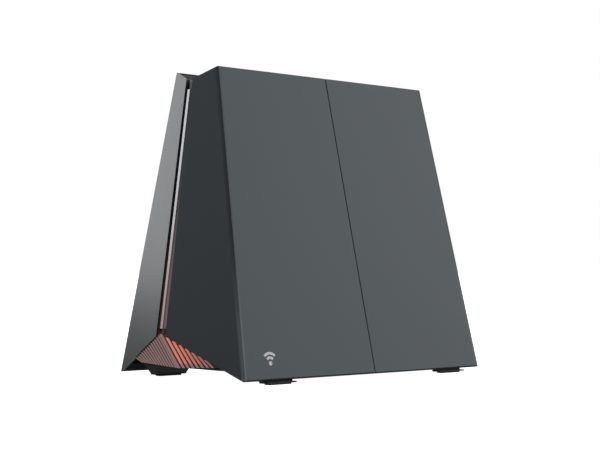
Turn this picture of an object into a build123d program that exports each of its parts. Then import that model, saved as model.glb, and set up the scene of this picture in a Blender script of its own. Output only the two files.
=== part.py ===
from build123d import *
import os
from math import hypot, sqrt

# Tower wireless router: two leaning cover wings meet over a ribbed base and a central chassis.
# Millimetres, +Z up, front towards -Y, width along X, feet standing on Z = 0.

# Overall shape of the two wings
wing_height = 245.0          # from the wings' bottom edge to their top edge
wing_gap = 3.0               # clearance of the wings' bottom edge above the table
base_half_width = 132.9      # half width of a wing's flat panel at its bottom edge
top_half_width = 116.2       # and at its top edge
base_half_ridge = 157.7      # half width at the ridge line between the wings, bottom edge
top_half_ridge = 123.3       # and top edge
base_half_depth = 79.8       # distance of the flat panel from the middle plane, bottom edge
top_half_depth = 26.6        # and top edge
low_slope = 0.445            # slope of the flanges' cut lower edges towards the ridge
high_slope = 0.37            # and of their upper edges
slot_half_base = 6.2         # half width of the side slot between the wings, at the bottom
slot_half_top = 4.0          # and at the top
wall = 2.6                   # shell wall
corner_radius = 1.6          # rounding of the wings' front and rear corners
seam_gap = 1.0               # joint between the two front covers
seam_drift = 6.0             # how far the seam wanders to the right on its way down
fit = 0.3                    # clearance between parts that are assembled by hand

# Base, feet and side vents
base_clear = 7.2             # underside of the base tray above the wings' bottom edge
tray_thick = 2.5
tray_inset = 1.2             # gap between the tray's edge and the covers
foot_pad_height = 1.2
foot_pad = (22.0, 6.0)
sole = (30.0, 9.5)           # plate under each leg that holds the pad
sole_thick = 1.0
leg_top = (37.0, 19.0)
front_foot = (97.0, 77.0)
rear_foot = (101.0, 56.0)
rear_rib = (3.7, 1.7)        # pitch and thickness of the side vents' ribs on the rear half
front_rib = (6.1, 2.8)       # and on the front half
rib_depth = 3.4
vent_bar_x = 133.6           # foot of the ridge bar at each side
vent_bar_half = 1.6
vent_set = 2.0               # lit web behind the ribs' outer edges
vent_web = 1.2
vent_rear_y = 52.0           # where the side vents end towards the rear
vent_front_y = 46.0          # and towards the front
vent_rise = 2.4              # how much the vents' lower edge climbs on its way to their ends
vent_top_clear = 3.0         # how far the ribs reach up inside the wings

# Side channel
rail_inset = 6.0             # outer face of the side rail inside the ridge line
rail_thick = 3.0
rail_half = 9.0
spine_inset = 1.0
spine_front = -2.2           # front and rear edge of the bright spine
spine_rear = 0.6
pipe_inset = 1.8
lamp_low = 60.0              # ends of the lamp strip behind the side rail
lamp_high = 150.0

# Ribbed top grille
grille_half = 121.5
grille_drop = 0.8            # its top below the covers' cut upper edges
grille_depth = 6.0
top_pitch = 4.7
top_rib = 1.9
beam_half = 2.4
edge_beam_y = 21.0           # inner face of the beams along the covers
seam_strip_half = 6.0

# Electronics
board_thick = 1.6
board_half = 92.0
board_bottom = 44.0
board_clear = 40.0           # top edge of the main board below the wings' top edge
board_y = 3.0                # front face of the main board
chip_height = 1.8
pad_height = 0.8
sink_base = 3.0
fin_thick = 1.4
fin_pitch = 8.0
fin_reach = 13.0
shield_height = 3.0

# Port bay
bay_half = 104.0
bay_rim = 2.0                # frame around the bay's opening
bay_top = 60.0
bay_face = 52.0              # recessed port plate, distance behind the middle plane
plate_thick = 2.0
io_board_top = 26.6
jack = (17.3, 21.0, 13.6)    # RJ45 housing: width, depth, height
jack_mouth = (11.9, 16.0, 8.2)
sfp = (14.6, 38.0, 10.6)
sfp_mouth = (12.6, 34.0, 8.6)
usb = (14.6, 17.0, 7.4)
usb_mouth = (12.4, 13.0, 5.0)
dc_jack = (11.0, 14.0, 11.0)
dc_bore = 3.0                # socket radius
port_proud = 0.6             # port housings reach this far past the plate's outer face
button_travel = 1.2
button_half = 3.4
button_proud = 1.8

# Fan
fan_size = 60.0
fan_depth = 15.0
fan_x = 0.0
fan_y = -30.0
rotor_radius = 27.0
hub_radius = 12.0
fan_shaft_radius = 1.5
shaft_clear = 0.04
blade_count = 9

# Screws and their ears
ear_half = 5.0
ear_height = 8.0
screw_radius = 1.2
screw_bite = 6.0
screw_head_radius = 2.6
screw_head = 1.2

# Glyph
glyph_x = -104.5
glyph_height = 16.5
glyph_size = 10.5
glyph_depth = 0.5

top_z = wing_gap + wing_height
board_top = top_z - board_clear
base_under = wing_gap + base_clear
base_top = base_under + tray_thick
bay_bottom = base_top + screw_bite + bay_rim + fit


def along(z, low, high):
    """Value that runs from low at the wings' bottom edge to high at their top edge."""
    return low + (high - low) * (z - wing_gap) / wing_height


def half_width(z):
    return along(z, base_half_width, top_half_width)


def half_depth(z):
    return along(z, base_half_depth, top_half_depth)


def slot_half(z):
    return along(z, slot_half_base, slot_half_top)


def half_ridge(z):
    return along(z, base_half_ridge, top_half_ridge)


def flange_x(z, y, inset=0.0):
    """Half width of a wing at height z and distance y from the middle plane."""
    flare = (half_ridge(z) - half_width(z)) / half_depth(z)
    return half_width(z) + flare * (half_depth(z) - abs(y)) - inset * hypot(1, flare)


def lower_edge(y):
    """Height of the wings' cut lower edge at distance y from the middle plane."""
    return wing_gap + low_slope * (base_half_depth - abs(y))


def upper_edge(y):
    return top_z - high_slope * (top_half_depth - abs(y))


def seam_x(z):
    return along(z, seam_drift, 0.0)


def up(share):
    """Height at a share of the way up the main board."""
    return board_bottom + share * (board_top - board_bottom)


def box(x0, x1, y0, y1, z0, z1):
    return Pos((x0 + x1) / 2, (y0 + y1) / 2, (z0 + z1) / 2) * Box(x1 - x0, y1 - y0, z1 - z0)


def mirror_x(shape):
    return shape.mirror(Plane.YZ)


def polygon(points):
    return Face(Wire.make_polygon(points, close=True))


def prism_y(points, y0, y1):
    """Polygon in XZ, extruded from y0 to y1."""
    return extrude(polygon([(x, y0, z) for x, z in points]), amount=y1 - y0, dir=(0, 1, 0))


def prism_x(points, x0, x1):
    """Polygon in YZ, extruded from x0 to x1."""
    return extrude(polygon([(x0, y, z) for y, z in points]), amount=x1 - x0, dir=(1, 0, 0))


def cylinder(radius, x, y, z0, z1):
    return Pos(x, y, (z0 + z1) / 2) * Cylinder(radius, z1 - z0)


def cylinder_y(radius, x, z, y0, y1):
    return Pos(x, (y0 + y1) / 2, z) * Rot(90, 0, 0) * Cylinder(radius, y1 - y0)


def group(shapes):
    return Compound(children=[solid for shape in shapes for solid in shape.solids()])


parts = {}


def keep(name, shape):
    parts[name] = shape


# ---------------------------------------------------------------- wings

def wing_section(z, side, inset, inner_y):
    """Plan outline of a wing: side is -1 for the front wing and 1 for the rear wing."""
    deep = half_depth(z) - inset
    points = [
        (-flange_x(z, inner_y, inset), side * inner_y, z),
        (-flange_x(z, deep, inset), side * deep, z),
        (flange_x(z, deep, inset), side * deep, z),
        (flange_x(z, inner_y, inset), side * inner_y, z),
    ]
    return Wire.make_polygon(points, close=True)


def wing_block(side, inset):
    bottom = wing_section(wing_gap, side, inset, slot_half(wing_gap) if inset == 0 else 0.0)
    top = wing_section(top_z, side, inset, slot_half(top_z) if inset == 0 else 0.0)
    return Solid.make_loft([bottom, top], ruled=True)


def wing_envelope(side):
    """Space between the cut lower and upper edges of a wing."""
    far = base_half_depth + 5
    points = [
        (0, lower_edge(0)),
        (side * base_half_depth, wing_gap),
        (side * far, wing_gap),
        (side * far, top_z),
        (side * top_half_depth, top_z),
        (0, upper_edge(0)),
    ]
    return prism_x(points, -200, 200)


def wing(side):
    outer = wing_block(side, 0.0)
    corners = [
        edge
        for edge in outer.edges()
        if edge.length > wing_height * 0.9 and abs(edge.center().Y) > (base_half_depth + top_half_depth) / 3
    ]
    outer = fillet(corners, corner_radius)
    inner = wing_block(side, wall)
    shell = outer - inner
    return shell & wing_envelope(side)


def cover_boss(x, y, side):
    """Screw ear inside a cover: a block from the panel's inner face that rests on the tray."""
    reach = side * half_depth(base_top)
    ear = box(x - ear_half, x + ear_half, min(y, reach), max(y, reach), base_top, base_top + ear_height)
    hole = cylinder(screw_radius, x, y + side * ear_half, base_top - 1, base_top + screw_bite)
    return (ear & wing_block(side, wall / 2)) - hole


boss_y = base_half_depth - 16.5
boss_x = (24.0, 66.0)
screw_y = boss_y + ear_half


def cover_ears(side, signs):
    ears = None
    for sign in signs:
        for x in boss_x:
            ear = cover_boss(sign * x, side * boss_y, side)
            ears = ear if ears is None else ears + ear
    return ears


front_wing = wing(-1)
far_out = 400.0              # beyond every outer face


def half_region(sign):
    """Space to one side of the front seam."""
    low, high = seam_x(0) + sign * seam_gap / 2, seam_x(far_out) + sign * seam_gap / 2
    return prism_y([(sign * far_out, 0), (low, 0), (high, far_out), (sign * far_out, far_out)], -far_out, 0)


lean = (base_half_depth - top_half_depth) / wing_height


def panel_y(z):
    """Outer face of the front panel at height z."""
    return -half_depth(z)


# Generic radio-wave mark: a dot and two arcs on the lower left of the front panel

def front_plane(x, z):
    origin = Vector(x, panel_y(z), z)
    up = Vector(0, lean, 1).normalized()
    return Plane(origin=origin, x_dir=(1, 0, 0), z_dir=Vector(1, 0, 0).cross(up))


def glyph_solid(clear):
    base = glyph_size * 0.16
    dot = Circle(base + clear)
    sketch = dot
    for radius in (glyph_size * 0.42, glyph_size * 0.74):
        ring = Circle(radius + base / 1.6 + clear) - Circle(radius - base / 1.6 - clear)
        wedge = make_face(Polyline((0, 0), (-glyph_size, glyph_size * 1.1), (glyph_size, glyph_size * 1.1),
                                   close=True))
        sketch += ring & wedge
    where = front_plane(glyph_x, wing_gap + glyph_height - glyph_size * 0.3)
    return extrude(where * sketch, amount=-glyph_depth)


mark = glyph_solid(0.0)
keep("front_cover_left", (front_wing & half_region(-1)) + cover_ears(-1, (-1,)) - mark)
keep("front_cover_right", (front_wing & half_region(1)) + cover_ears(-1, (1,)))
keep("signal_mark", group([mark]))

# ---------------------------------------------------------------- rear cover with its port bay

bay_cut = box(-bay_half, bay_half, bay_face, 100, bay_bottom, bay_top)
bay_frame = box(-bay_half - bay_rim, bay_half + bay_rim, bay_face, half_depth(bay_bottom) - 1,
                bay_bottom - bay_rim, bay_top + bay_rim)
rear_inner = wing_block(1, wall / 2)
rear_cover = wing(1) - bay_cut + ((bay_frame - bay_cut) & rear_inner)
rear_slots = None
slot_low, slot_pitch = 96.0, 12.0
for row in range(int((top_z - 50 - slot_low) / slot_pitch) + 1):
    z = slot_low + row * slot_pitch
    for x in (-60, -20, 20, 60):
        slot = box(x - 14, x + 14, half_depth(z) - 6, half_depth(z) + 4, z, z + 4)
        rear_slots = slot if rear_slots is None else rear_slots + slot
rear_cover = rear_cover - rear_slots + cover_ears(1, (-1, 1))
keep("rear_cover", rear_cover)

# ---------------------------------------------------------------- side rails, spines, light pipes


def ridge_strip(z0, z1, inset0, inset1, front, rear):
    """Strip that follows the left ridge line from z0 to z1; front and rear give its edges at a height."""
    rings = []
    for z in (z0, z1):
        out = flange_x(z, 0) - inset0
        back = flange_x(z, 0) - inset1
        ring = [(-out, front(z), z), (-out, rear(z), z), (-back, rear(z), z), (-back, front(z), z)]
        rings.append(Wire.make_polygon(ring, close=True))
    return Solid.make_loft(rings, ruled=True)


def level(y):
    """An edge that keeps its distance from the middle plane all the way up."""
    return lambda z: y


def pipe_front(z):
    return fit - slot_half(z)


rail_low = lower_edge(0) + vent_top_clear + fit
spine_high = upper_edge(0) - grille_drop - grille_depth - fit
rail_high = spine_high - 2
rail_back = rail_inset + rail_thick
lamp_half = 5.0
strips = {
    "side_rail": ridge_strip(rail_low, rail_high, rail_inset, rail_back, level(-rail_half), level(rail_half)),
    "side_spine": ridge_strip(rail_low, spine_high, spine_inset, rail_inset, level(spine_front), level(spine_rear)),
    "light_pipe": ridge_strip(rail_low, spine_high, pipe_inset, rail_inset, pipe_front, level(spine_front - fit)),
    "led_strip": ridge_strip(lamp_low, lamp_high, rail_back, rail_back + 1, level(-lamp_half), level(lamp_half)),
}
for name, shape in strips.items():
    keep(name + "_left", shape)
    keep(name + "_right", mirror_x(shape))

# ---------------------------------------------------------------- base tray, legs and pads

tray_side = vent_bar_x - rib_depth
tray_end = half_depth(base_top) - wall - tray_inset
tray_corner = half_width(base_top) - 3 * wall
right_edge = [
    (tray_corner, -tray_end), (tray_side, -vent_front_y), (tray_side, vent_rear_y), (tray_corner, tray_end)
]
left_edge = [(-x, y) for x, y in reversed(right_edge)]
tray_face = polygon([(x, y, base_under) for x, y in right_edge + left_edge])
tray = extrude(tray_face, amount=tray_thick, dir=(0, 0, 1))


def rectangle(x, width, y0, y1, z):
    corners = [(x - width / 2, y0, z), (x + width / 2, y0, z), (x + width / 2, y1, z), (x - width / 2, y1, z)]
    return Wire.make_polygon(corners, close=True)


def leg(x, y):
    """Tapered leg on a sole plate, held behind the cover's lower edge; built on the rear half."""
    low = foot_pad_height + sole_thick
    plate = box(x - sole[0] / 2, x + sole[0] / 2, y - sole[1] / 2, y + sole[1] / 2, foot_pad_height, low)
    low_end = min(y + sole[1] / 2, half_depth(wing_gap) - wall - 2 * fit)
    high_end = min(y + leg_top[1] / 2, tray_end)
    foot_ring = rectangle(x, sole[0], y - sole[1] / 2, low_end, low)
    top_ring = rectangle(x, leg_top[0], high_end - leg_top[1], high_end, base_under)
    return plate + Solid.make_loft([foot_ring, top_ring], ruled=True)


pads = []
for sign in (-1, 1):
    tray = tray + leg(sign * rear_foot[0], rear_foot[1])
    tray = tray + leg(sign * front_foot[0], front_foot[1]).mirror(Plane.XZ)
    for x, y in ((sign * rear_foot[0], rear_foot[1]), (sign * front_foot[0], -front_foot[1])):
        pads.append(box(x - foot_pad[0] / 2, x + foot_pad[0] / 2, y - foot_pad[1] / 2, y + foot_pad[1] / 2,
                        0, foot_pad_height))
for sign in (-1, 1):
    for x in boss_x:
        for side in (-1, 1):
            tray = tray - cylinder(screw_radius + fit, sign * x, side * screw_y, base_under - 1, base_top + 1)
intake_pitch = 4.4
intake_half = 1.1
for row in range(-6, 7):
    chord = rotor_radius ** 2 - (row * intake_pitch) ** 2
    if chord > 36:
        half = sqrt(chord)
        y = fan_y + row * intake_pitch
        tray = tray - box(fan_x - half, fan_x + half, y - intake_half, y + intake_half,
                          base_under - 1, base_top + 1)
fan_corner = fan_size / 2 - 5
fan_holes = [(fan_x + sx * fan_corner, fan_y + sy * fan_corner) for sx in (-1, 1) for sy in (-1, 1)]
for x, y in fan_holes:
    tray = tray - cylinder(screw_radius, x, y, base_under - 1, base_top + 1)
keep("base_tray", tray)
post_spots = [(x, y) for x in (-94.0, -8.0, 86.0) for y in (12.0, 27.0)]
keep("board_posts", group([cylinder(3.0, x, y, base_top, io_board_top - board_thick) for x, y in post_spots]))
keep("foot_pads", group(pads))

# ---------------------------------------------------------------- ribbed side vents


def vent_end(y):
    return vent_rear_y if y > 0 else vent_front_y


def vent_bottom(y):
    return base_under + vent_rise * abs(y) / vent_end(y)


def vent_joint(y):
    """Point just under the wing's cut edge where a rib's outer edge starts."""
    z = lower_edge(y) - fit
    return flange_x(z, y, wall / 3), z


def vent_rib(y, half):
    """Slat between two cut planes: it fills the vent's face and reaches up inside the wing."""
    reach = abs(y) + half
    low = vent_bottom(y)
    top = lower_edge(y) + vent_top_clear
    joint_x, joint_z = vent_joint(reach)
    inner = vent_bar_x - rib_depth
    points = [
        (-vent_bar_x, low),
        (-joint_x, joint_z),
        (-(flange_x(joint_z, reach, wall) - fit), joint_z),
        (-(flange_x(top, reach, wall) - fit), top),
        (-(flange_x(top, reach, wall) - rib_depth - 1), top),
        (-inner, base_top + 0.2),
        (-inner, low),
    ]
    return prism_y(points, y - half, y + half)


def vent_border(end):
    """Bar that joins the ribs' upper ends inside a wing, from the middle plane to the vent's end."""
    rings = []
    for y in (0.0, end):
        z0 = lower_edge(y) + 0.8
        z1 = lower_edge(y) + vent_top_clear
        out = flange_x(z1, y, wall) - 2 * fit
        ring = [(-out, y, z0), (-out, y, z1), (-(out - 4), y, z1), (-(out - 4), y, z0)]
        rings.append(Wire.make_polygon(ring, close=True))
    return Solid.make_loft(rings, ruled=True)


def vent_backing(end):
    """Lit web behind the ribs, from the corner bar to the vent's end."""
    rings = []
    for y in (0.0, end):
        joint_x, joint_z = vent_joint(y)
        low = base_under + (vent_rise if y > 0 else 0)
        front = [(-(vent_bar_x - vent_set), y, low), (-(joint_x - vent_set), y, joint_z)]
        back = [(x + vent_web, y, z) for x, y, z in reversed(front)]
        rings.append(Wire.make_polygon(front + back, close=True))
    return Solid.make_loft(rings, ruled=True)


def both_halves(build):
    """Rear half from the middle plane, and the front half built the same way and mirrored."""
    return build(vent_rear_y) + build(vent_front_y).mirror(Plane.XZ)


backing = both_halves(vent_backing)
grille = vent_rib(0, vent_bar_half)
for side, end, (pitch, thick) in ((1, vent_rear_y, rear_rib), (-1, vent_front_y, front_rib)):
    for number in range(1, int((end - thick / 2) / pitch) + 1):
        grille = grille + vent_rib(side * number * pitch, thick / 2)
grille = grille + both_halves(vent_border) - backing
keep("vent_ribs_left", grille)
keep("vent_ribs_right", mirror_x(grille))
keep("vent_diffuser_left", backing)
keep("vent_diffuser_right", mirror_x(backing))

# ---------------------------------------------------------------- strip behind the front seam

inner_skin = wing_block(-1, wall) - wing_block(-1, wall + 1.5)
strip_low, strip_high = 30.0, top_z - 16
strip_region = prism_y(
    [(seam_x(strip_low) - seam_strip_half, strip_low), (seam_x(strip_low) + seam_strip_half, strip_low),
     (seam_x(strip_high) + seam_strip_half, strip_high), (seam_x(strip_high) - seam_strip_half, strip_high)],
    -200, -20
)
keep("seam_strip", inner_skin & strip_region)

# ---------------------------------------------------------------- ribbed top grille



def grille_band(x0, x1, y_limit):
    """Slice of the V-shaped top grille between two X positions."""
    points = [
        (-y_limit, upper_edge(y_limit) - grille_drop),
        (0, upper_edge(0) - grille_drop),
        (y_limit, upper_edge(y_limit) - grille_drop),
        (y_limit, upper_edge(y_limit) - grille_drop - grille_depth),
        (0, upper_edge(0) - grille_drop - grille_depth),
        (-y_limit, upper_edge(y_limit) - grille_drop - grille_depth),
    ]
    return prism_x(points, x0, x1)


top_grille = grille_band(-grille_half, grille_half, beam_half)
for side in (-1, 1):
    near, far = sorted((side * edge_beam_y, side * 40))
    edge_beam = grille_band(-grille_half, grille_half, 40) & box(-grille_half, grille_half, near, far, 100, 300)
    top_grille = top_grille + edge_beam
top_count = int(grille_half / top_pitch)
for number in range(-top_count, top_count + 1):
    x = number * top_pitch
    top_grille = top_grille + grille_band(x - top_rib / 2, x + top_rib / 2, 40)
top_grille = top_grille & (wing_block(-1, wall) + wing_block(1, wall))
keep("top_grille", top_grille)

# ---------------------------------------------------------------- chassis

post = (10.0, 8.0)
post_x = board_half - 4 + post[0] / 2
beam = 6.0
grille_post_x = 60.0
chassis_top = board_top + 4
grille_under = upper_edge(0) - grille_drop - grille_depth
chassis = None
for side in (-1, 1):
    x = side * post_x
    bar = box(x - post[0] / 2, x + post[0] / 2, board_y - post[1], board_y, base_top, chassis_top)
    chassis = bar if chassis is None else chassis + bar
    for z in (up(0.12), up(0.51), up(0.93)):
        near, far = side * (post_x + post[0] / 2 - 1), side * (flange_x(z, 0) - rail_inset - 1)
        chassis = chassis + box(min(near, far), max(near, far), board_y - post[1], board_y, z, z + beam)
    x = side * grille_post_x
    chassis = chassis + box(x - 3, x + 3, -beam_half, beam_half, chassis_top - 1, grille_under)
for z in (board_bottom - 2, chassis_top - beam):
    chassis = chassis + box(-post_x, post_x, board_y - post[1], board_y, z, z + beam)
for name in ("side_rail_left", "side_rail_right", "led_strip_left", "led_strip_right"):
    chassis = chassis - parts[name]
board_holes = [(side * (board_half - 2), z) for side in (-1, 1) for z in (up(0.10), up(0.50), up(0.90))]
for x, z in board_holes:
    chassis = chassis - cylinder_y(screw_radius, x, z, board_y - screw_bite, board_y + 1)
keep("chassis", chassis)

# ---------------------------------------------------------------- main board and its cooling

board_back = board_y + board_thick
main_board = box(-board_half, board_half, board_y, board_back, board_bottom, board_top)
for x, z in board_holes:
    main_board = main_board - cylinder_y(screw_radius, x, z, board_y - 1, board_back + 1)
keep("main_board", main_board)
keep("board_screws", group([
    cylinder_y(screw_radius, x, z, board_y - screw_bite, board_back)
    + cylinder_y(screw_head_radius, x, z, board_back, board_back + screw_head)
    for x, z in board_holes
]))

chip_spots = [(0, up(0.45), 22), (-50, up(0.65), 15), (0, up(0.73), 15), (50, up(0.65), 15),
              (-26, up(0.32), 12), (26, up(0.32), 12)]
chip_face = board_y - chip_height
pad_face = chip_face - pad_height
keep("chips", group([
    box(x - s / 2, x + s / 2, chip_face, board_y, z - s / 2, z + s / 2) for x, z, s in chip_spots
]))
keep("thermal_pads", group([
    box(x - s / 2, x + s / 2, pad_face, chip_face, z - s / 2, z + s / 2) for x, z, s in chip_spots
]))


def heatsink(half, z0, z1, foot, direction):
    """Finned plate: foot is the face that meets the pads, fins point along direction."""
    back = foot + direction * sink_base
    tip = back + direction * fin_reach
    body = box(-half, half, min(foot, back), max(foot, back), z0, z1)
    count = int(half / fin_pitch)
    for number in range(-count, count + 1):
        x = number * fin_pitch
        body = body + box(x - fin_thick / 2, x + fin_thick / 2, min(foot, tip), max(foot, tip), z0, z1)
    return body


keep("heatsink_front", heatsink(76.0, up(0.20), up(0.90), pad_face, -1))

tall, low = up(0.30) - up(0), up(0.21) - up(0)
shield_spots = [
    (-50, up(0.63), 46, tall), (4, up(0.63), 46, tall), (56, up(0.63), 44, tall), (0, up(0.32), 60, low)
]
shield_back = board_back + shield_height
keep("rf_shields", group([
    box(x - w / 2, x + w / 2, board_back, shield_back, z - h / 2, z + h / 2)
    - box(x - w / 2 + 0.5, x + w / 2 - 0.5, board_back - 1, shield_back - 0.5, z - h / 2 + 0.5, z + h / 2 - 0.5)
    for x, z, w, h in shield_spots
]))
keep("shield_pads", group([
    box(x - w / 3, x + w / 3, shield_back, shield_back + pad_height, z - h / 3, z + h / 3)
    for x, z, w, h in shield_spots
]))
keep("heatsink_rear", heatsink(76.0, up(0.21), up(0.80), shield_back + pad_height, 1))

# ---------------------------------------------------------------- port board, plate and sockets

io_bottom = io_board_top - board_thick
io_half = 100.0
io_front = 8.0
plate_inner = bay_face - plate_thick
keep("io_board", box(-io_half, io_half, io_front, plate_inner - fit, io_bottom, io_board_top))
keep("riser_connector", box(-30, 30, board_back, board_back + 5, io_board_top, board_bottom + 8))

wan_x = 2.0
sfp_x = -19.0
lan_x = [24.0 + 17.6 * number for number in range(4)]
usb_x = [-56.0, -41.0]
dc_x = -92.0
power_x = -77.0
power_z = io_board_top + 8.0
reset_x = 96.0
reset_z = io_board_top + 7.0
switch_x = {"wifi_button": 52.0, "wps_button": 66.0, "light_button": 80.0}
switch_z = 53.0
port_face = bay_face + port_proud


def housing(x, size, mouth, lift):
    """Socket housing on the port board, with its mouth open towards the rear."""
    width, depth, height = size
    wide, deep, tall = mouth
    body = box(x - width / 2, x + width / 2, port_face - depth, port_face, io_board_top, io_board_top + height)
    z = io_board_top + lift
    return body - box(x - wide / 2, x + wide / 2, port_face - deep, port_face + 1, z, z + tall)


def rj45(x):
    body = housing(x, jack, jack_mouth, 2.6)
    z = io_board_top + 2.6 + jack_mouth[2]
    latch = box(x - 3.1, x + 3.1, port_face - 6, port_face + 1, z - 1, z + 1.6)
    return body - latch


keep("wan_jack", rj45(wan_x))
keep("lan_jacks", group([rj45(x) for x in lan_x]))
keep("sfp_cage", housing(sfp_x, sfp, sfp_mouth, 1.0))
tongue = 1.9
usb_shapes = []
for x in usb_x:
    shell = housing(x, usb, usb_mouth, 1.2)
    z = io_board_top + 1.2 + usb_mouth[2] - tongue
    shell = shell + box(x - 5.2, x + 5.2, port_face - usb_mouth[1], port_face - 1.5, z, z + tongue)
    usb_shapes.append(shell)
keep("usb_ports", group(usb_shapes))
dc_z = io_board_top + dc_jack[2] / 2
inlet = box(dc_x - dc_jack[0] / 2, dc_x + dc_jack[0] / 2, port_face - dc_jack[1], port_face,
            io_board_top, io_board_top + dc_jack[2])
inlet = inlet - cylinder_y(dc_bore, dc_x, dc_z, port_face - 9.5, port_face + 1)
inlet = inlet + cylinder_y(1.0, dc_x, dc_z, port_face - 10, port_face - 1)
keep("power_inlet", inlet)


def window(x, width, height):
    """Hole in the port plate around a socket that stands on the port board."""
    return box(x - width / 2 - fit, x + width / 2 + fit, plate_inner - 1, bay_face + 1,
               io_board_top - fit, io_board_top + height + fit)


plate = box(-bay_half - bay_rim, bay_half + bay_rim, plate_inner, bay_face, bay_bottom - bay_rim, bay_top + bay_rim)
for first, last, size in ((wan_x, wan_x, jack), (lan_x[0], lan_x[-1], jack), (sfp_x, sfp_x, sfp),
                          (usb_x[0], usb_x[-1], usb), (dc_x, dc_x, dc_jack)):
    plate = plate - window((first + last) / 2, last - first + size[0], size[2])
button_slots = [(power_x, power_z)] + [(x, switch_z) for x in switch_x.values()]
for x, z in button_slots:
    half = button_half + fit
    plate = plate - box(x - half, x + half, plate_inner - 1, bay_face + 1, z - half, z + half)
plate = plate - cylinder_y(1.0 + fit, reset_x, reset_z, plate_inner - 1, bay_face + 1)
stem_back = plate_inner - 3.6
switch_face = stem_back - button_travel - 0.1
switch_depth = 3.5
board_face = switch_face - switch_depth
for x in (44.0, 88.0):
    plate = plate + box(x - 1.5, x + 1.5, board_face, plate_inner, 46, 60)
keep("io_plate", plate)
keep("button_board", box(42, 90, board_face - board_thick, board_face, 46, 60))

flange_half = button_half + 1.2
flange_thick = 1.4
for name, (x, z) in {"power_button": (power_x, power_z),
                     **{key: (x, switch_z) for key, x in switch_x.items()}}.items():
    stem = box(x - button_half, x + button_half, stem_back, bay_face + button_proud,
               z - button_half, z + button_half)
    stem = chamfer(stem.faces().sort_by(Axis.Y)[-1].edges(), 0.6)
    rim = box(x - flange_half, x + flange_half, plate_inner - 0.1 - flange_thick, plate_inner - 0.1,
              z - flange_half, z + flange_half)
    keep(name, stem + rim)
keep("reset_button", cylinder_y(1.0, reset_x, reset_z, stem_back, bay_face - 0.8)
     + cylinder_y(2.0, reset_x, reset_z, plate_inner - 0.1 - flange_thick, plate_inner - 0.1))
tacts = [box(x - 3, x + 3, board_face, switch_face, switch_z - 3, switch_z + 3) for x in switch_x.values()]
for x, z in ((power_x, power_z), (reset_x, reset_z)):
    tacts.append(box(x - 3, x + 3, board_face, switch_face, io_board_top, z + 3))
keep("tact_switches", group(tacts))

# ---------------------------------------------------------------- antennas

antenna_long, antenna_thick = 36.0, 1.0
post_out = post_x + post[0] / 2
antennas = []
for side in (-1, 1):
    for z in (up(0.22), up(0.62)):
        near, far = side * post_out, side * (post_out + antenna_thick)
        antennas.append(box(min(near, far), max(near, far), board_y - post[1], board_y, z, z + antenna_long))
    for x in (16.0, 66.0):
        near, far = side * x, side * (x + antenna_long - 6)
        antennas.append(box(min(near, far), max(near, far), board_y - post[1], board_y,
                            chassis_top, chassis_top + antenna_thick))
keep("antennas", group(antennas))

# ---------------------------------------------------------------- cooling fan

fan_top = base_top + fan_depth
strut_low = fan_top - 2.2
frame = box(fan_x - fan_size / 2, fan_x + fan_size / 2, fan_y - fan_size / 2, fan_y + fan_size / 2,
            base_top, fan_top)
frame = frame - cylinder(rotor_radius + 0.8, fan_x, fan_y, base_top - 1, fan_top + 1)
hub_cap = cylinder(hub_radius, fan_x, fan_y, strut_low, fan_top)
for turn in range(3):
    strut = Pos(fan_x, fan_y, (strut_low + fan_top) / 2) * Rot(0, 0, 45 + turn * 120) * Pos(19.2, 0, 0) * Box(
        18.5, 3, fan_top - strut_low)
    frame = frame + strut
frame = frame + hub_cap
frame = frame - cylinder(fan_shaft_radius + shaft_clear, fan_x, fan_y, strut_low - 1, fan_top + 1)
for x, y in fan_holes:
    frame = frame - cylinder(screw_radius, x, y, base_top - 1, fan_top + 1)
keep("fan_housing", frame)

rotor_low = base_top + 1.0
rotor_high = strut_low - 0.8
rotor = cylinder(hub_radius - 0.5, fan_x, fan_y, rotor_low, rotor_high)
blade_tall = rotor_high - rotor_low - 1.5
for turn in range(blade_count):
    angle = turn * 360 / blade_count
    blade = (Pos(fan_x, fan_y, rotor_low + blade_tall / 2) * Rot(0, 0, angle) * Pos(18.9, 0, 0)
             * Rot(38, 0, 0) * Box(16.0, 1.1, blade_tall * 0.92))
    rotor = rotor + blade
rotor = rotor & cylinder(rotor_radius, fan_x, fan_y, rotor_low, rotor_high)
rotor = rotor + cylinder(fan_shaft_radius, fan_x, fan_y, rotor_high - 1, fan_top - 0.2)
keep("fan_rotor", rotor)
keep("fan_screws", group([
    cylinder(screw_radius, x, y, base_under + 0.5, fan_top)
    + cylinder(screw_head_radius, x, y, fan_top, fan_top + screw_head)
    for x, y in fan_holes
]))
keep("cover_screws", group([
    cylinder(screw_radius, sign * x, side * screw_y, base_under, base_top + screw_bite)
    + cylinder(screw_head_radius, sign * x, side * screw_y, base_under - screw_head, base_under)
    for sign in (-1, 1) for x in boss_x for side in (-1, 1)
]))

for name, shape in parts.items():
    print(name, len(shape.solids()), round(shape.volume))

os.makedirs("parts", exist_ok=True)
for name, shape in parts.items():
    export_step(shape, f"parts/{name}.step")
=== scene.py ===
# %% [markdown]
# # A tower router in satin charcoal
# The frame comes from the CAD model: every shell, rib, socket and button is already there, at its real
# size, in metres. This lesson gives each of them its finish, adds the fine pieces that a CAD model
# leaves out, and lights the whole thing like a small product set.

# %% Load the frame
import math
import bmesh
import bpy
from mathutils import Matrix, Vector


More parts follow.
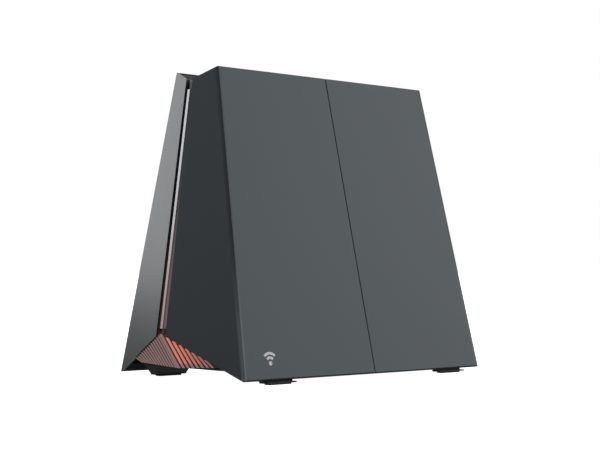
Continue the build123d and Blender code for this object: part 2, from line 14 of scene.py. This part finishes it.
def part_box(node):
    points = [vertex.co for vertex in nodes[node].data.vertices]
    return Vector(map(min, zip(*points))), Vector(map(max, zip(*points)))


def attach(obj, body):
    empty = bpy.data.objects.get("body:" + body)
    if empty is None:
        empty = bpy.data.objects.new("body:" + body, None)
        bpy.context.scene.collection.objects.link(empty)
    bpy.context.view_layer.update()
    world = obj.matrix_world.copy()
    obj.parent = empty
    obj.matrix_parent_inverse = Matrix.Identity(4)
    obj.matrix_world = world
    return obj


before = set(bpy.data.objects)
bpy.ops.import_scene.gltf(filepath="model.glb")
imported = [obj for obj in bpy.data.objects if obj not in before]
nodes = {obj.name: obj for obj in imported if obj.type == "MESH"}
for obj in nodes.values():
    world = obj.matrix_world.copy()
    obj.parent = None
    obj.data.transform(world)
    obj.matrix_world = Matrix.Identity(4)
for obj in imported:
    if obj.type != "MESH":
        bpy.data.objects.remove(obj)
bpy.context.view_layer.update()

# %% [markdown]
# ## Shader maths that reads like arithmetic
# A material is a graph of nodes. Adding Math nodes by hand makes long, unreadable code, so a value in
# the graph is wrapped in a small class. Adding or multiplying two wrapped values adds the Math node that
# does it. The same class adds any other node through one method.

# %% A wrapped socket
class Value:
    """One output socket of a material's graph."""

    def __init__(self, paint, socket):
        self.paint = paint
        self.socket = socket

    def _math(self, operation, first, second):
        return self.paint.add("Math", {"operation": operation}, {0: first, 1: second})

    def __add__(self, other):
        return self._math("ADD", self, other)

    def __radd__(self, other):
        return self._math("ADD", other, self)

    def __sub__(self, other):
        return self._math("SUBTRACT", self, other)

    def __rsub__(self, other):
        return self._math("SUBTRACT", other, self)

    def __mul__(self, other):
        return self._math("MULTIPLY", self, other)

    def __rmul__(self, other):
        return self._math("MULTIPLY", other, self)

    def __truediv__(self, other):
        return self._math("DIVIDE", self, other)

    def __abs__(self):
        return self.paint.add("Math", {"operation": "ABSOLUTE"}, {0: self})

    def at_least(self, other):
        return self._math("MAXIMUM", self, other)

    def ramp(self, start, end):
        """Runs from 0 to 1 while this value runs from start to end, and stops there."""
        smooth = {"interpolation_type": "SMOOTHSTEP"}
        return self.paint.add("MapRange", smooth, {0: self, 1: start, 2: end})

    def above(self, other):
        return self._math("GREATER_THAN", self, other)

    def below(self, other):
        return self._math("LESS_THAN", self, other)


print("Value ready")

# %% A graph, and a finish built in one
class Graph:
    """A node tree with one shader, built node by node."""

    def __init__(self, tree, shader):
        self.tree = tree
        self.shader = tree.nodes[shader]

    def plug(self, socket, value):
        """Links a wrapped value into a socket, or sets a plain one on it."""
        if isinstance(value, Value):
            self.tree.links.new(value.socket, socket)
        else:
            socket.default_value = value

    def add(self, kind, settings=None, sockets=None, output=0):
        """Adds one node: its settings first, then its sockets, and gives back one output."""
        node = self.tree.nodes.new("ShaderNode" + kind)
        for key, value in (settings or {}).items():
            setattr(node, key, value)
        for key, value in (sockets or {}).items():
            self.plug(node.inputs[key], value)
        return Value(self, node.outputs[output])

    def set(self, **sockets):
        """Sets the shader's own sockets; a name's underscores stand for spaces."""
        for key, value in sockets.items():
            self.plug(self.shader.inputs[key.replace("_", " ")], value)

    def place(self):
        """Position on the object, in metres."""
        return self.add("TexCoord", output=3)

    def split(self, vector):
        """A vector's three parts as separate values."""
        first = self.add("SeparateXYZ", {}, {0: vector})
        return [Value(self, socket) for socket in first.socket.node.outputs]

    def axes(self):
        """The three coordinates as separate values, in metres."""
        return self.split(self.place())

    def noise(self, scale, detail=3.0, roughness=0.55, stretch=None):
        """Noise between 0 and 1, with a scale in repeats per metre."""
        vector = self.place()
        if stretch:
            vector = self.add("VectorMath", {"operation": "MULTIPLY"}, {0: vector, 1: stretch})
        return self.add("TexNoise", {}, {"Vector": vector, "Scale": scale, "Detail": detail,
                                         "Roughness": roughness})

    def blend(self, factor, dark, light):
        """A colour between two others."""
        return self.add("Mix", {"data_type": "RGBA"}, {0: factor, 6: dark, 7: light}, output=2)

    def bump(self, height, strength, distance):
        """A normal bent by a height, where 1 stands this distance proud, in metres."""
        return self.add("Bump", {}, {"Height": height, "Strength": strength, "Distance": distance})


class Finish(Graph):
    """A material and its graph."""

    def __init__(self, name):
        self.material = bpy.data.materials.new(name)
        self.material.use_nodes = True
        super().__init__(self.material.node_tree, "Principled BSDF")


def rgb(red, green, blue):
    return (red, green, blue, 1.0)


finishes = {}


def keep(key, material):
    """Files a finish under a short name and says how many nodes it took."""
    finishes[key] = material
    print(key, "finish:", len(material.node_tree.nodes), "nodes")


print("helpers ready")

# %% [markdown]
# ## Satin charcoal wings
# The covers are injection-moulded and then painted with a satin coat. Such a coat is never a flat grey:
# a fine orange-peel grain breaks up the reflections, and the coat is a touch thicker in some places, which
# shows as slow drifts in tone and gloss. Three noises do this: one under a millimetre for the grain, one
# of a few millimetres for flecks of colour, and one of about ten centimetres for the drift. A displaced
# mesh could carry the grain too, but at a few hundredths of a millimetre a bump is enough and costs
# nothing. The inside of a cover is raw black plastic, so the finish works out how far each point lies
# below the outer faces, and changes there.

# %% The wings' paint
WING_LOW, WING_TOP = 0.003, 0.248      # heights of the covers' lower and upper edges
PANEL_DEPTH = (0.0798, 0.0266)         # distance of a flat panel from the middle plane, low and high
PANEL_WIDTH = (0.1329, 0.1162)         # half width of a flat panel, low and high
RIDGE_WIDTH = (0.1577, 0.1233)         # half width where the flanges would meet, low and high
PAINT_EDGE = 0.0015                    # a point deeper than this below the outer faces is unpainted
# Each pair below is where an effect begins and where it is full.
CORNER_REFLECTION = (0.0032, 0.0016)         # depth below the outer faces
CORNER_HIGHLIGHT = (0.13, 0.03)               # height
SPILL_REACH = (0.016, 0.008)           # distance from the middle plane
SPILL_HEIGHT = (0.15, 0.03)


def between(ends, share):
    """Runs from the first end to the second while share runs from 0 to 1."""
    return ends[0] + share * (ends[1] - ends[0])


def wing_paint():
    """Satin coat outside; the raw black moulding shows wherever a point lies behind the outer faces.

    The rounded corners carry a painted reflection: a pale highlight low down, and a dark band further up.
    The lamps' red spill on the raw edges beside the side slots is painted in as a faint glow.
    """
    paint = Finish("wing_paint")
    drift = paint.noise(9.0, 3.0)
    grain = paint.noise(1500.0, 2.0)
    fleck = paint.noise(420.0, 2.0)
    x, y, z = paint.axes()
    rise = (z - WING_LOW) / (WING_TOP - WING_LOW)
    depth = between(PANEL_DEPTH, rise)
    width = between(PANEL_WIDTH, rise)
    ridge = between(RIDGE_WIDTH, rise)
    behind_panel = depth - abs(y)
    behind_flange = width + (ridge - width) * behind_panel / depth - abs(x)
    inside = behind_panel.above(PAINT_EDGE) * behind_flange.above(PAINT_EDGE)
    tone = drift * 0.7 + fleck * 0.3
    coat = paint.blend(tone, rgb(0.022, 0.0285, 0.033), rgb(0.028, 0.0355, 0.041))
    # painted reflection on the rounded corners: a pale highlight low down, a dark band higher up
    corner = behind_panel.at_least(behind_flange).ramp(*CORNER_REFLECTION)
    low = z.ramp(*CORNER_HIGHLIGHT)
    coat = paint.blend(corner * low, coat, rgb(0.085, 0.095, 0.102))
    coat = paint.blend(corner * (1.0 - low) * 0.85, coat, rgb(0.003, 0.004, 0.005))
    raw = paint.blend(fleck, rgb(0.008, 0.008, 0.009), rgb(0.015, 0.015, 0.016))
    # painted light: the raw edges glow faintly red where the lamps would spill on them
    spill = inside * abs(y).ramp(*SPILL_REACH) * z.ramp(*SPILL_HEIGHT)
    paint.set(
        Emission_Color=paint.blend(spill, rgb(0, 0, 0), rgb(0.036, 0.010, 0.010)),
        Emission_Strength=1.0,
        Base_Color=paint.blend(inside, coat, raw),
        Roughness=0.27 + drift * 0.06 + inside * 0.3,
        Normal=paint.bump(grain, 0.10, 0.00003),
        Specular_Tint=rgb(0.84, 0.94, 1.0),
    )
    return paint.material


keep("wing_paint", wing_paint())

# %% [markdown]
# ## Moulded black plastic
# The chassis, base tray, port plate, seam strip and fan are plain black mouldings with the spark-eroded
# texture of their mould. It could be a scanned texture, but noise needs no picture and has no seams. The
# grain is coarser than paint, and rubbed spots are a little glossier.

# %% Mould-textured black
def moulded_black():
    paint = Finish("moulded_black")
    grain = paint.noise(900.0, 4.0, 0.6)
    rub = paint.noise(25.0, 3.0)
    tone = rub * 0.6 + grain * 0.4
    paint.set(
        Base_Color=paint.blend(tone, rgb(0.010, 0.010, 0.0106), rgb(0.020, 0.020, 0.0216)),
        Roughness=0.62 - rub * 0.2,
        Normal=paint.bump(grain, 0.35, 0.00008),
    )
    return paint.material


keep("black", moulded_black())

# %% [markdown]
# ## Brushed silver spine
# A thin bright strip runs down each side slot. Brushing leaves fine scratches along its length, so a noise
# is squeezed across the strip and stretched along it. The scratches change the gloss more than the colour.
# Low down the strip mirrors the lamps, and that red reflection is painted into its colour as a warm tone.

# %% Spine
# the warm tone is a painted reflection of the lamps
SPINE_LAMP_REFLECTION = (0.15, 0.04)            # heights where the warm tone begins and is full


def spine_silver():
    paint = Finish("spine_silver")
    brushed = paint.noise(60.0, 5.0, 0.7, stretch=(40.0, 40.0, 1.0))
    # painted reflection of the lamps: warm towards the bottom
    lamp_reflection = paint.axes()[2].ramp(*SPINE_LAMP_REFLECTION)
    paint.set(
        Base_Color=paint.blend(lamp_reflection, rgb(0.74, 0.75, 0.78), rgb(0.62, 0.50, 0.49)),
        Metallic=1.0,
        Roughness=0.32 + brushed * 0.25,
        Normal=paint.bump(brushed, 0.15, 0.00003),
    )
    return paint.material


keep("spine", spine_silver())

# %% [markdown]
# ## Light pipes and the side rails
# Red lamps sit behind the side rails. Their light comes out through a frosted guide in the slot, and
# spills over the rail's lower half. Real light sources inside a closed shell render slowly and grainy, so
# the plastic itself glows: an emission that is strongest near the lamps and falls away from them looks
# the same from outside. Above the lamps the guide is unlit and reads as smoky grey.

# %% Guide and rail
PIPE_GLOW = (0.17, 0.05)               # heights where the guide's light begins and is full
RAIL_GLOW = (0.13, 0.03)               # and the rail's


def light_pipe():
    paint = Finish("light_pipe")
    lit = paint.axes()[2].ramp(*PIPE_GLOW)
    haze = paint.noise(300.0, 2.0)
    light = lit * (0.8 + haze * 0.3)
    paint.set(
        Base_Color=paint.blend(lit, rgb(0.035, 0.036, 0.038), rgb(0.13, 0.10, 0.10)),
        Roughness=0.38 + haze * 0.1,
        Emission_Color=paint.blend(light, rgb(0.006, 0.006, 0.006), rgb(0.068, 0.040, 0.038)),
        Emission_Strength=1.0,
        Normal=paint.bump(haze, 0.1, 0.00003),
    )
    return paint.material


def channel_black():
    """The side rail: black, with the lamps' red spilling onto its lower half."""
    paint = Finish("channel_black")
    lit = paint.axes()[2].ramp(*RAIL_GLOW)
    grain = paint.noise(900.0, 3.0)
    paint.set(
        Base_Color=paint.blend(grain, rgb(0.006, 0.006, 0.007), rgb(0.012, 0.012, 0.013)),
        Roughness=0.55,
        Emission_Color=paint.blend(lit, rgb(0.0, 0.0, 0.0), rgb(0.034, 0.010, 0.010)),
        Emission_Strength=1.0,
        Normal=paint.bump(grain, 0.3, 0.00006),
    )
    return paint.material


keep("pipe", light_pipe())
keep("channel", channel_black())

# %% [markdown]
# ## Lit webs and slats
# Behind each vent's slats lies a web that the lamps light from inside, brightest next to the slot. The
# slats are moulded in a smoky translucent plastic. Their outer edges carry a painted highlight of the room,
# as pinkish grey lines; deeper down they turn dark red. Towards the front they carry the orange glow of the
# lamps, strongest next to the corner bar; at the back and at their feet the glow stays grey. Translucent
# plastic could be ray-traced, but the glow would be grainy, so the colour follows how deep a point lies
# behind the vent's face.

# %% The web behind the slats
WEB_FRONT = 0.0005                     # the front half starts this far before the middle plane
WEB_GLOW = (0.030, 0.002)              # distances from the middle plane where the light begins and is full


def lit_web():
    paint = Finish("lit_web")
    y = paint.axes()[1]
    front = (y + WEB_FRONT).below(0.0)
    mottle = paint.noise(120.0, 2.0)
    near = abs(y).ramp(*WEB_GLOW)
    strength = near * front * (0.8 + mottle * 0.4)
    paint.set(
        Base_Color=paint.blend(mottle, rgb(0.030, 0.009, 0.007), rgb(0.045, 0.013, 0.010)),
        Roughness=0.5,
        Emission_Color=paint.blend(strength, rgb(0.028, 0.006, 0.005), rgb(0.110, 0.010, 0.004)),
        Emission_Strength=1.0,
        Normal=paint.bump(mottle, 0.1, 0.00004),
    )
    return paint.material


keep("web", lit_web())

# %% How deep a point lies in the vent
FACE_FOOT_X = 0.1336                   # half width of the vent's face at its foot
# The other three change evenly with the distance from the middle plane: start, and change per metre.
FACE_FOOT_Z = (0.0102, 0.048)          # height of the face's foot
FACE_CUT_Z = (0.0382, 0.445)           # height of the slanting cut edge, which falls
FACE_CUT_X = (0.1519, 0.248)           # half width at the cut edge, which shrinks
LEAST_FACE = 0.002                     # the face's height is never taken as less, near the cut's end


def face_depth(x, y, z):
    """How far a point lies behind the vent's flat outer face, which runs from the foot to the cut edge."""
    side = abs(y)
    low = FACE_FOOT_Z[0] + side * FACE_FOOT_Z[1]
    high = FACE_CUT_Z[0] - side * FACE_CUT_Z[1]
    top_x = FACE_CUT_X[0] - side * FACE_CUT_X[1]
    outer = FACE_FOOT_X + (top_x - FACE_FOOT_X) * (z - low) / (high - low).at_least(LEAST_FACE)
    return outer - abs(x)


print("the two vents' faces stand", 2 * FACE_FOOT_X, "m apart at their feet")

# %% Slats
SLAT_FRONT = 0.0018                    # the front half starts this far before the middle plane
# Each pair below is where an effect begins and where it is full.
SLAT_GLOW = (0.050, 0.004)             # distance from the middle plane
SLAT_FOOT = (0.0165, 0.0125)           # height
# the next depths place the painted edge highlight and glow
SLAT_LIT_EDGE = (0.0014, 0.0004)           # depth behind the vent's face


def slat_copper():
    paint = Finish("slat_copper")
    x, y, z = paint.axes()
    front = (y + SLAT_FRONT).below(0.0)
    near = abs(y).ramp(*SLAT_GLOW)
    foot = z.ramp(*SLAT_FOOT)
    edge = face_depth(x, y, z).ramp(*SLAT_LIT_EDGE)
    grain = paint.noise(700.0, 3.0)
    hot = paint.blend(near, rgb(0.12, 0.034, 0.027), rgb(0.50, 0.125, 0.078))
    glow = paint.blend(front * (1.0 - foot), rgb(0.120, 0.066, 0.060), hot)
    # painted highlight: the outer edges turn pinkish grey as if they caught the room; the glow there is
    # painted lamp light
    shine = edge * (0.8 + grain * 0.3)
    paint.set(
        Base_Color=paint.blend(shine, rgb(0.030, 0.012, 0.011), rgb(0.36, 0.27, 0.26)),
        Roughness=0.32 + grain * 0.12,
        Emission_Color=paint.blend(edge, rgb(0.016, 0.004, 0.0035), glow),
        Emission_Strength=1.0,
        Normal=paint.bump(grain, 0.2, 0.00004),
    )
    return paint.material


keep("slat", slat_copper())

# %% [markdown]
# ## Top grille
# The grille is black like the chassis, but the beam under its middle shows between the ribs as a row of
# lighter grey notches. The ribs and the beam are one moulding, so the finish tells them apart by where a
# point lies: near the middle plane, and between two ribs.

# %% Grille
BEAM_REACH = (0.010, 0.004)            # distances from the middle plane where the grey begins and is full
HALF_PITCH = 0.00235                   # half the distance from one rib to the next
NOTCH_REACH = 0.0014                   # a notch reaches this far from its own middle


def grille_black():
    paint = Finish("grille_black")
    x, y = paint.axes()[:2]
    grain = paint.noise(800.0, 3.0)
    middle = abs(y).ramp(*BEAM_REACH)
    rib = paint.add("Math", {"operation": "PINGPONG"}, {0: x, 1: HALF_PITCH}).above(NOTCH_REACH)
    notch = middle * (1.0 - rib) + grain * 0.1
    paint.set(
        Base_Color=paint.blend(notch, rgb(0.007, 0.007, 0.008), rgb(0.20, 0.19, 0.19)),
        Roughness=0.42 + grain * 0.1,
        Normal=paint.bump(grain, 0.3, 0.00006),
    )
    return paint.material


keep("grille", grille_black())

# %% [markdown]
# ## Rubber and circuit boards
# Rubber is matt with a powdery bloom, which noise gives in both colour and roughness. A circuit board is
# green lacquer over copper tracks, and the tracks show as a slightly raised, lighter pattern. Drawing real
# tracks would take thousands of curves that nobody sees, so a brick texture stands for them.

# %% Rubber and board
def rubber():
    paint = Finish("rubber")
    bloom = paint.noise(260.0, 4.0)
    paint.set(
        Base_Color=paint.blend(bloom, rgb(0.008, 0.008, 0.008), rgb(0.022, 0.022, 0.021)),
        Roughness=0.78 + bloom * 0.12,
        Normal=paint.bump(bloom, 0.3, 0.0001),
    )
    return paint.material


def circuit_board():
    paint = Finish("circuit_board")
    place = paint.place()
    tracks = paint.add("TexBrick", {"offset": 0.3, "squash": 1.6}, {
        "Vector": place, "Color1": rgb(0, 0, 0), "Color2": rgb(0.25, 0.25, 0.25),
        "Mortar": rgb(1, 1, 1), "Scale": 95.0, "Mortar Size": 0.02, "Brick Width": 0.9, "Row Height": 0.22})
    lacquer = paint.noise(60.0, 2.0)
    paint.set(
        Base_Color=paint.blend(tracks, rgb(0.006, 0.030, 0.018), rgb(0.014, 0.062, 0.036)),
        Roughness=0.32 + lacquer * 0.12,
        Normal=paint.bump(tracks, 0.2, 0.00004),
    )
    return paint.material


keep("rubber", rubber())
keep("board", circuit_board())

# %% [markdown]
# ## Metals and small plastics
# Heatsinks, shields, screws and sockets differ only in colour, gloss and the way their surface was drawn
# or rolled, so one function makes every metal and one makes every small plastic. Extruded aluminium has
# lines along its fins, and tin plate has faint blotches.

# %% Metals
def metal(name, dark, light, rough, stretch, scale):
    paint = Finish(name)
    lines = paint.noise(scale, 4.0, 0.6, stretch=stretch)
    paint.set(
        Base_Color=paint.blend(lines, rgb(*dark), rgb(*light)),
        Metallic=1.0,
        Roughness=rough + lines * 0.18,
        Normal=paint.bump(lines, 0.12, 0.00004),
    )
    return paint.material


EVEN = (1, 1, 1)
ALONG_FINS = (1, 1, 0.05)
metals = {
    "aluminium": ("extruded_aluminium", (0.52, 0.53, 0.54), (0.68, 0.69, 0.70), 0.3, ALONG_FINS, 80.0),
    "tin": ("tin_plate", (0.50, 0.50, 0.48), (0.64, 0.64, 0.62), 0.28, EVEN, 40.0),
    "nickel": ("nickel_shell", (0.52, 0.51, 0.49), (0.66, 0.65, 0.63), 0.22, EVEN, 200.0),
    "steel": ("zinc_screw", (0.28, 0.28, 0.29), (0.40, 0.40, 0.41), 0.3, EVEN, 900.0),
    "gold": ("gold_contact", (0.72, 0.46, 0.14), (0.86, 0.60, 0.22), 0.2, EVEN, 700.0),
}
for key, values in metals.items():
    keep(key, metal(*values))

# %% Plastics
def plastic(name, dark, light, rough, scale):
    paint = Finish(name)
    grain = paint.noise(scale, 3.0)
    paint.set(
        Base_Color=paint.blend(grain, rgb(*dark), rgb(*light)),
        Roughness=rough + grain * 0.1,
        Normal=paint.bump(grain, 0.12, 0.00004),
    )
    return paint.material


plastics = {
    "chip": ("chip_epoxy", (0.010, 0.010, 0.010), (0.022, 0.022, 0.022), 0.5, 500.0),
    "pad": ("thermal_pad", (0.30, 0.36, 0.42), (0.40, 0.46, 0.52), 0.7, 200.0),
    "jack": ("jack_black", (0.012, 0.012, 0.013), (0.022, 0.022, 0.023), 0.3, 500.0),
    "wan": ("jack_red", (0.30, 0.020, 0.012), (0.38, 0.030, 0.018), 0.32, 500.0),
    "button": ("button_black", (0.020, 0.020, 0.021), (0.030, 0.030, 0.031), 0.25, 500.0),
    "mark": ("mark_print", (0.62, 0.63, 0.64), (0.72, 0.73, 0.74), 0.45, 900.0),
    "lens": ("lamp_lens", (0.10, 0.26, 0.08), (0.16, 0.36, 0.12), 0.2, 900.0),
}
for key, values in plastics.items():
    keep(key, plastic(*values))

# %% [markdown]
# ## Lamp strips
# The strips inside the wings are white boards with a row of red lamps. The lamps could be modelled one by
# one, but they sit behind the rails, so a repeat in the height draws them on the board.

# %% Lamp strip
LAMP_PITCH = 0.012                     # from one lamp to the next
LAMP_FROM, LAMP_TO = 0.35, 0.65        # a lamp's share of each pitch


def lamp_white():
    paint = Finish("lamp_white")
    z = paint.axes()[2]
    row = paint.add("Math", {"operation": "FRACT"}, {0: z / LAMP_PITCH})
    lamp = row.above(LAMP_FROM) * row.below(LAMP_TO)
    paint.set(
        Base_Color=paint.blend(lamp, rgb(0.5, 0.5, 0.48), rgb(0.9, 0.2, 0.1)),
        Roughness=0.45,
        Emission_Color=paint.blend(lamp, rgb(0.01, 0.0, 0.0), rgb(1.0, 0.1, 0.04)),
        Emission_Strength=2.0,
    )
    return paint.material


keep("lamps", lamp_white())

# %% [markdown]
# ## Hand the finishes out
# Each CAD node gets its finish by name. A node whose name isn't listed would keep the importer's flat
# colour, so the cell prints what is left over.

# %% Assign finishes to the CAD nodes
wears = {
    "wing_paint": ["front_cover_left", "front_cover_right", "rear_cover"],
    "black": ["base_tray", "board_posts", "chassis", "fan_housing", "fan_rotor", "io_plate", "seam_strip"],
    "grille": ["top_grille"],
    "channel": ["side_rail_left", "side_rail_right"],
    "spine": ["side_spine_left", "side_spine_right"],
    "pipe": ["light_pipe_left", "light_pipe_right"],
    "web": ["vent_diffuser_left", "vent_diffuser_right"],
    "slat": ["vent_ribs_left", "vent_ribs_right"],
    "rubber": ["foot_pads"],
    "board": ["main_board", "io_board", "button_board", "antennas"],
    "chip": ["chips", "tact_switches"],
    "pad": ["thermal_pads", "shield_pads"],
    "aluminium": ["heatsink_front", "heatsink_rear"],
    "tin": ["rf_shields"],
    "nickel": ["sfp_cage", "usb_ports"],
    "steel": ["board_screws", "fan_screws", "cover_screws"],
    "jack": ["lan_jacks", "power_inlet", "riser_connector"],
    "wan": ["wan_jack"],
    "button": ["power_button", "wifi_button", "wps_button", "light_button", "reset_button"],
    "mark": ["signal_mark"],
    "lamps": ["led_strip_left", "led_strip_right"],
}
dressed = set()
for finish, names in wears.items():
    for name in names:
        mesh = nodes[name].data
        mesh.materials.clear()
        mesh.materials.append(finishes[finish])
        dressed.add(name)
print("nodes without a finish:", sorted(set(nodes) - dressed))

# %% [markdown]
# ## Fine pieces
# The ports get what a CAD model leaves out: eight gold contacts in each network socket, a pair of small
# lamps beside each socket and printed rings round the buttons. They could be one object each, but dozens
# of tiny objects are slow to handle, so each kind is one mesh made of bevelled boxes. Each mesh rides on
# the housing and takes its place from the CAD boxes, so it stays right when a socket moves.

# %% A mesh of small boxes
MM = 0.001
SOFTENING = 0.2                        # a bevel's share of the thinnest side


def cell_mesh(name, boxes, finish):
    """One object made of bevelled boxes, given as (centre, size) pairs in metres."""
    mesh = bpy.data.meshes.new(name)
    build = bmesh.new()
    for middle, size in boxes:
        place = Matrix.Translation(middle) @ Matrix.Diagonal((*size, 1.0))
        bmesh.ops.create_cube(build, size=1.0, matrix=place)
    build.to_mesh(mesh)
    build.free()
    piece = bpy.data.objects.new(name, mesh)
    bpy.context.scene.collection.objects.link(piece)
    soften = piece.modifiers.new("soften", "BEVEL")
    soften.width = min(min(size) for middle, size in boxes) * SOFTENING
    soften.segments = 2
    mesh.materials.append(finish)
    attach(piece, "housing")
    print(name, "has", len(boxes), "boxes")


print("a bevel takes", SOFTENING, "of a box's thinnest side")

# %% Where the network sockets stand
LAN_COUNT = 4
wan_low, wan_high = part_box("wan_jack")
lan_low, lan_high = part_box("lan_jacks")
pitch = (lan_high.x - lan_low.x - (wan_high.x - wan_low.x)) / (LAN_COUNT - 1)
jack_x = [(wan_low.x + wan_high.x) / 2]
jack_x += [lan_low.x + (wan_high.x - wan_low.x) / 2 + number * pitch for number in range(LAN_COUNT)]
print("sockets at", [round(x / MM, 1) for x in jack_x], "mm")

# %% Contacts and lamps of the network sockets
CONTACT_COUNT, CONTACT_PITCH = 8, 1.02 * MM
CONTACT_SIZE = (0.4 * MM, 6.0 * MM, 0.5 * MM)
CONTACT_INSET, CONTACT_RISE = 5.0 * MM, 3.1 * MM     # from the socket's mouth and from its floor
LAMP_SIZE = (2.4 * MM, 0.4 * MM, 1.2 * MM)
LAMP_REACH = 5.2 * MM                                # from the socket's middle to each side
LAMP_PROUD, LAMP_DROP = 0.10 * MM, 1.3 * MM          # out of the mouth, and down from the socket's top
contacts, lamps = [], []
for x in jack_x:
    for number in range(CONTACT_COUNT):
        contact_x = x + (number - (CONTACT_COUNT - 1) / 2) * CONTACT_PITCH
        middle = Vector((contact_x, wan_high.y - CONTACT_INSET, wan_low.z + CONTACT_RISE))
        contacts.append((middle, Vector(CONTACT_SIZE)))
    for side in (-1, 1):
        middle = Vector((x + side * LAMP_REACH, wan_high.y + LAMP_PROUD, wan_high.z - LAMP_DROP))
        lamps.append((middle, Vector(LAMP_SIZE)))
cell_mesh("jack_contacts", contacts, finishes["gold"])
cell_mesh("jack_lamps", lamps, finishes["lens"])

# %% Rings round the buttons
RING_REACH = 4.6 * MM                  # from a button's middle to the middle of a bar
BAR_WIDTH, BAR_DEPTH = 0.35 * MM, 0.2 * MM
BAR_PROUD = 0.08 * MM                  # the bars' middle stands out of the port plate by this
plate_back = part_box("io_plate")[1].y
rings = []
for name in ("power_button", "wifi_button", "wps_button", "light_button"):
    low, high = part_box(name)
    centre = (low + high) / 2
    for side in (-1, 1):
        upright = Vector((centre.x + side * RING_REACH, plate_back + BAR_PROUD, centre.z))
        rings.append((upright, Vector((BAR_WIDTH, BAR_DEPTH, 2 * RING_REACH + BAR_WIDTH))))
        level = Vector((centre.x, plate_back + BAR_PROUD, centre.z + side * RING_REACH))
        rings.append((level, Vector((2 * RING_REACH - BAR_WIDTH, BAR_DEPTH, BAR_WIDTH))))
cell_mesh("button_rings", rings, finishes["mark"])

# %% [markdown]
# ## The floor
# The router stands on a plain white card that runs out to the horizon. A small card with a backdrop could
# serve, but its far edge would show. The card glows white, and the satin panels neither mirror it nor take
# light from it; what they would see of a floor is part of the surround instead.

# %% Floor
FLOOR_RADIUS = 60.0


def floor_card():
    paint = Finish("floor_card")
    speck = paint.noise(40.0, 2.0)
    paint.set(
        Base_Color=paint.blend(speck, rgb(0.90, 0.90, 0.90), rgb(0.93, 0.93, 0.93)),
        Roughness=0.9,
        Emission_Color=rgb(1, 1, 1),
        Emission_Strength=1.0,
    )
    return paint.material


keep("floor", floor_card())
floor_mesh = bpy.data.meshes.new("floor")
floor_build = bmesh.new()
bmesh.ops.create_circle(floor_build, cap_ends=True, radius=FLOOR_RADIUS, segments=96)
floor_build.to_mesh(floor_mesh)
floor_build.free()
floor_mesh.materials.append(finishes["floor"])
floor = bpy.data.objects.new("floor", floor_mesh)
floor.visible_glossy = False
floor.visible_diffuse = False
bpy.context.scene.collection.objects.link(floor)

# %% [markdown]
# ## The surround
# A satin panel is a dim mirror, so the surround is graded like a real studio. It is white straight behind
# the object, where the camera sees it. Elsewhere it is darker at the level of the object, lighter above,
# and a little lighter below, where a pale floor would be. In front there is only a bright band about level
# with the object, for the rounded front corners to mirror. A picture of a studio could do this too, but a
# few ramps over the direction need no file.

# %% Surround
BACK_WAY = (0.67, 0.74)                # east and north of the way the camera looks
FRONT_WAY = (-0.20, -0.98)

world = bpy.data.worlds.new("surround")
bpy.context.scene.world = world
world.use_nodes = True
sky = Graph(world.node_tree, "Background")
east, north, up = sky.split(sky.add("TexCoord", output=0))


def towards(way, start, end):
    """Runs from 0 to 1 as a direction turns towards this way."""
    return (east * way[0] + north * way[1]).ramp(start, end)


behind = towards(BACK_WAY, 0.86, 0.93)
ahead = towards(FRONT_WAY, 0.80, 0.93)
overhead = up.ramp(-0.12, 0.25)
underfoot = up.ramp(-0.15, -0.45)
room = 0.70 * overhead + 0.30 * underfoot
band = up.ramp(0.30, 0.16) * up.ramp(-0.10, 0.10)
glow = behind + (1.0 - behind) * (room * (1.0 - ahead) + band * ahead)
sky.set(Color=sky.blend(glow, rgb(0, 0, 0), rgb(1, 1, 1)), Strength=1.0)
bpy.context.scene.view_settings.view_transform = "Standard"
print("surround:", len(world.node_tree.nodes), "nodes")

# %% [markdown]
# ## The camera
# The camera stands in front of the left corner, a little below the middle of the object, and looks up by
# under two degrees. A long lens from over a metre away keeps the tall wings from leaning.

# %% Camera
camera_turn = math.radians(-42.27)     # the camera's heading, from +Y
camera_tilt = math.radians(1.81)       # looking up
camera_distance = 1.232
aim = Vector((-0.0036, 0.0009, 0.1257))
heading = Vector((-math.sin(camera_turn) * math.cos(camera_tilt),
                  math.cos(camera_turn) * math.cos(camera_tilt),
                  math.sin(camera_tilt)))
camera_data = bpy.data.cameras.new("camera")
camera_data.lens = 86.94
camera_data.sensor_width = 36.0
camera_data.clip_end = 50.0
camera = bpy.data.objects.new("camera", camera_data)
bpy.context.scene.collection.objects.link(camera)
camera.location = aim - heading * camera_distance
camera.rotation_euler = heading.to_track_quat("-Z", "Y").to_euler()
bpy.context.scene.camera = camera
print("camera at", [round(value, 3) for value in camera.location])

# %% [markdown]
# ## The lights
# A satin panel shows its lights as broad reflections, so each soft box is placed where one face mirrors
# it towards the camera: the key for the front panel, and one behind for the rear flange, which makes that
# flange run from pale at the top to dark at its foot.

# %% Lights
def soft_box(name, where, target, size, power):
    """A rectangular area light at one point that faces another."""
    data = bpy.data.lights.new(name, "AREA")
    data.shape = "RECTANGLE"
    data.size, data.size_y = size
    data.energy = power
    light = bpy.data.objects.new(name, data)
    light.location = Vector(where)
    light.rotation_euler = (Vector(target) - light.location).to_track_quat("-Z", "Y").to_euler()
    bpy.context.scene.collection.objects.link(light)
    print(name, "soft box of", power, "W")


soft_box("key", where=(1.20, -1.18, 0.72), target=(0, -0.05, 0.12), size=(1.5, 1.5), power=9.0)
soft_box("behind", where=(-0.33, 1.55, 0.65), target=(-0.12, 0.02, 0.15), size=(1.0, 1.0), power=4.0)
